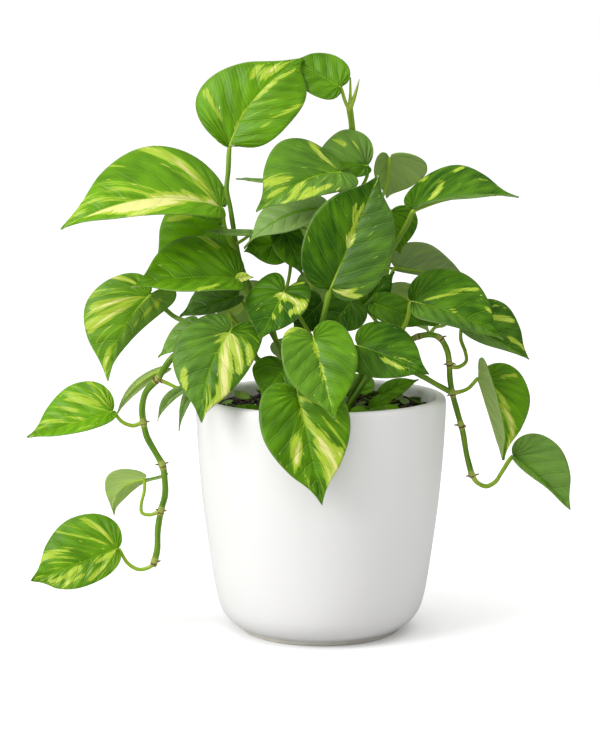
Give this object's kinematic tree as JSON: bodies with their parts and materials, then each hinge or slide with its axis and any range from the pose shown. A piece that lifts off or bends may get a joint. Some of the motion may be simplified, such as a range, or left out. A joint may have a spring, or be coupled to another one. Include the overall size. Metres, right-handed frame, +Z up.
{
  "type": "potted pothos plant",
  "caption": "Potted trailing houseplant: variegated heart-shaped leaves on green stems and two short trailing vines, in soil in a plain round white glazed pot.",
  "frame": {"origin": "centre of the flat underside of the pot", "axes": "+Z up along the pot's axis, -Y towards the front, +X to the right as seen from the front"},
  "size_m": [0.3242, 0.1687, 0.3489],
  "materials": {
    "glazed_pot": "gloss",
    "potting_soil": "matte",
    "leaf_green": "satin",
    "stem_green": "satin"
  },
  "bodies": {
    "root": {"pot": "glazed_pot", "soil": "potting_soil", "leaf_top_large": "leaf_green", "leaf_top_small": "leaf_green", "leaf_left_big": "leaf_green", "leaf_left_behind": "leaf_green", "leaf_left_dark": "leaf_green", "leaf_left_outer": "leaf_green", "leaf_left_front": "leaf_green", "leaf_left_shade": "leaf_green", "leaf_centre_heart": "leaf_green", "leaf_front_heart": "leaf_green", "leaf_front_upright": "leaf_green", "leaf_top_centre": "leaf_green", "leaf_top_dark": "leaf_green", "leaf_back_pale": "leaf_green", "leaf_right_upper": "leaf_green", "leaf_right_round": "leaf_green", "leaf_right_grey": "leaf_green", "leaf_right_mid": "leaf_green", "leaf_right_outer": "leaf_green", "leaf_trail_upper": "leaf_green", "leaf_trail_lower": "leaf_green", "leaf_right_front": "leaf_green", "leaf_right_shade": "leaf_green", "leaf_right_slant": "leaf_green", "leaf_right_tip": "leaf_green", "leaf_over_rim": "leaf_green", "leaf_soil_dark": "leaf_green", "leaf_centre_dark": "leaf_green", "leaf_mid_wavy": "leaf_green", "leaf_mid_sliver": "leaf_green", "leaf_centre_fold": "leaf_green", "leaf_back_edge": "leaf_green", "leaf_gap_dark": "leaf_green", "leaf_gap_small": "leaf_green", "leaf_vine_upper": "leaf_green", "leaf_vine_pale": "leaf_green", "leaf_vine_end": "leaf_green", "leaf_left_thin": "leaf_green", "leaf_left_tip_a": "leaf_green", "leaf_left_tip_b": "leaf_green", "leaf_left_tip_c": "leaf_green", "leaf_rear_left": "leaf_green", "leaf_rear_mid": "leaf_green", "leaf_rear_right": "leaf_green", "leaf_rear_high": "leaf_green", "leaf_rear_low": "leaf_green", "vine_left": "stem_green", "vine_right": "stem_green", "stem_centre": "stem_green", "stem_left": "stem_green", "stem_front": "stem_green", "stem_left_low": "stem_green", "stem_right": "stem_green"}
  },
  "joints": []
}
